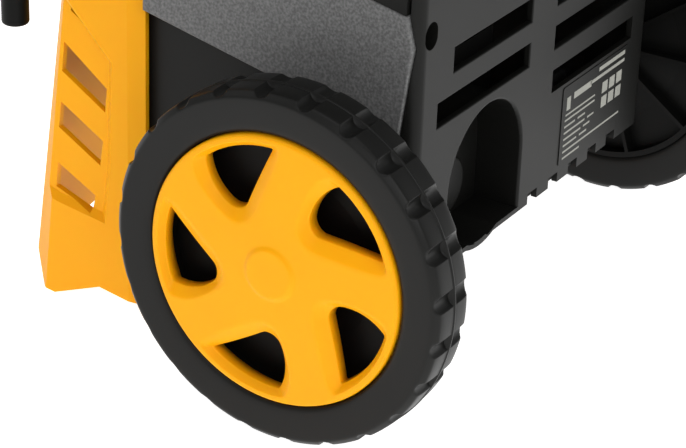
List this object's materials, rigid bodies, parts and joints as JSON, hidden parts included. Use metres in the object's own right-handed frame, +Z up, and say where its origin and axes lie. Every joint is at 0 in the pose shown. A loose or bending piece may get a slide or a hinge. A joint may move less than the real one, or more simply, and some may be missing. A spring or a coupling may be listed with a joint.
{
  "type": "pressure washer",
  "caption": "Upright electric pressure washer with back wheels, telescopic handle, louvred front cover on two legs, rotary switch and a spray gun stored on its side.",
  "frame": {"origin": "on the floor under the middle of the machine (bottom centre of its box)", "axes": "+Z up, -Y is the machine's front, +Y its back with the wheels, X across along the axle"},
  "size_m": [0.3576, 0.2746, 0.585],
  "materials": {
    "tyre_rubber": "moulded, satin",
    "wheel_black": "moulded",
    "casing_black": "fine texture",
    "panel_grey": "spark-eroded texture",
    "cover_yellow": "satin moulded",
    "soft_rubber": "matt",
    "steel": "turned",
    "pump_aluminium": "die cast",
    "brass": "brass, turned",
    "gun_black": "moulded",
    "nylon": "moulded"
  },
  "bodies": {
    "chassis": {"axle": "steel", "axle_clips": "steel", "back_casing": "casing_black", "bearings": "steel", "cable_gland": "wheel_black", "capacitor": "pump_aluminium", "capacitor_clip": "wheel_black", "casing_screws": "steel", "feet": "soft_rubber", "floor_plate": "wheel_black", "front_cover": "cover_yellow", "gun_cradle": "wheel_black", "handle_guide_left": "wheel_black", "handle_guide_right": "wheel_black", "hood": "casing_black", "hood_screws": "steel", "hook_lower": "wheel_black", "inlet_connector": "brass", "lance_guide": "wheel_black", "motor_cap": "wheel_black", "motor_stator": "steel", "outlet_connector": "brass", "pistons": "steel", "pump_body": "pump_aluminium", "pump_bolts": "steel", "pump_head": "pump_aluminium", "rating_plate": "casing_black", "side_panel_left": "panel_grey", "side_panel_right": "panel_grey", "stop_switch": "wheel_black", "switch_bezel": "casing_black", "unloader_valve": "pump_aluminium"},
    "wheel_left": {"tyre_left": "tyre_rubber", "wheel_rim_left": "wheel_black", "wheel_cover_left": "cover_yellow", "wheel_bush_left": "nylon"},
    "wheel_right": {"tyre_right": "tyre_rubber", "wheel_rim_right": "wheel_black", "wheel_cover_right": "cover_yellow", "wheel_bush_right": "nylon"},
    "handle": {"handle_tube_left": "steel", "handle_tube_right": "steel", "handle_grip": "soft_rubber"},
    "button": {"release_button": "cover_yellow"},
    "knob": {"switch_knob": "cover_yellow"},
    "motor_rotor": {"rotor": "steel", "fan": "wheel_black", "wobble_plate": "steel"},
    "hook": {"hook_upper": "wheel_black"},
    "gun": {"gun_shell_inner": "gun_black", "gun_shell_outer": "gun_black", "lance": "steel", "lance_nut": "gun_black", "trigger_pin": "steel"},
    "trigger": {"trigger": "cover_yellow"},
    "nozzle": {"nozzle_collar": "gun_black"}
  },
  "joints": [
    {"name": "wheel_left_spin", "type": "hinge", "parent": "chassis", "child": "wheel_left", "pos_m": [0.162, 0.05, 0.085], "axis": [1, 0, 0], "continuous": true},
    {"name": "wheel_right_spin", "type": "hinge", "parent": "chassis", "child": "wheel_right", "pos_m": [-0.162, 0.05, 0.085], "axis": [1, 0, 0], "continuous": true},
    {"name": "handle_slide", "type": "slide", "parent": "chassis", "child": "handle", "axis": [0, 0, 1], "range_m": [0, 0.25]},
    {"name": "release_press", "type": "slide", "parent": "handle", "child": "button", "axis": [0, 0, -1], "range_m": [0, 0.004], "stiffness_N_per_m": 600, "springref_m": -0.001},
    {"name": "switch_turn", "type": "hinge", "parent": "chassis", "child": "knob", "pos_m": [0, -0.0827, 0.385], "axis": [0, -0.9703, 0.2418], "range_deg": [0, 90]},
    {"name": "rotor_spin", "type": "hinge", "parent": "chassis", "child": "motor_rotor", "pos_m": [0, -0.004, 0.25], "axis": [0, 0, 1], "continuous": true},
    {"name": "hook_swivel", "type": "hinge", "parent": "chassis", "child": "hook", "pos_m": [0, 0.0884, 0.37], "axis": [0, 1, 0], "range_deg": [0, 180]},
    {"name": "gun_lift", "type": "slide", "parent": "chassis", "child": "gun", "axis": [0, 0, 1], "range_m": [0, 0.2]},
    {"name": "trigger_pull", "type": "hinge", "parent": "gun", "child": "trigger", "pos_m": [0.15, -0.088, 0.4176], "axis": [1, 0, 0], "range_deg": [0, 15], "stiffness_Nm_per_rad": 0.4, "springref_deg": -5.73},
    {"name": "nozzle_turn", "type": "hinge", "parent": "gun", "child": "nozzle", "pos_m": [0.15, -0.11, 0.17], "axis": [0, 0, 1], "range_deg": [-45, 45]}
  ]
}
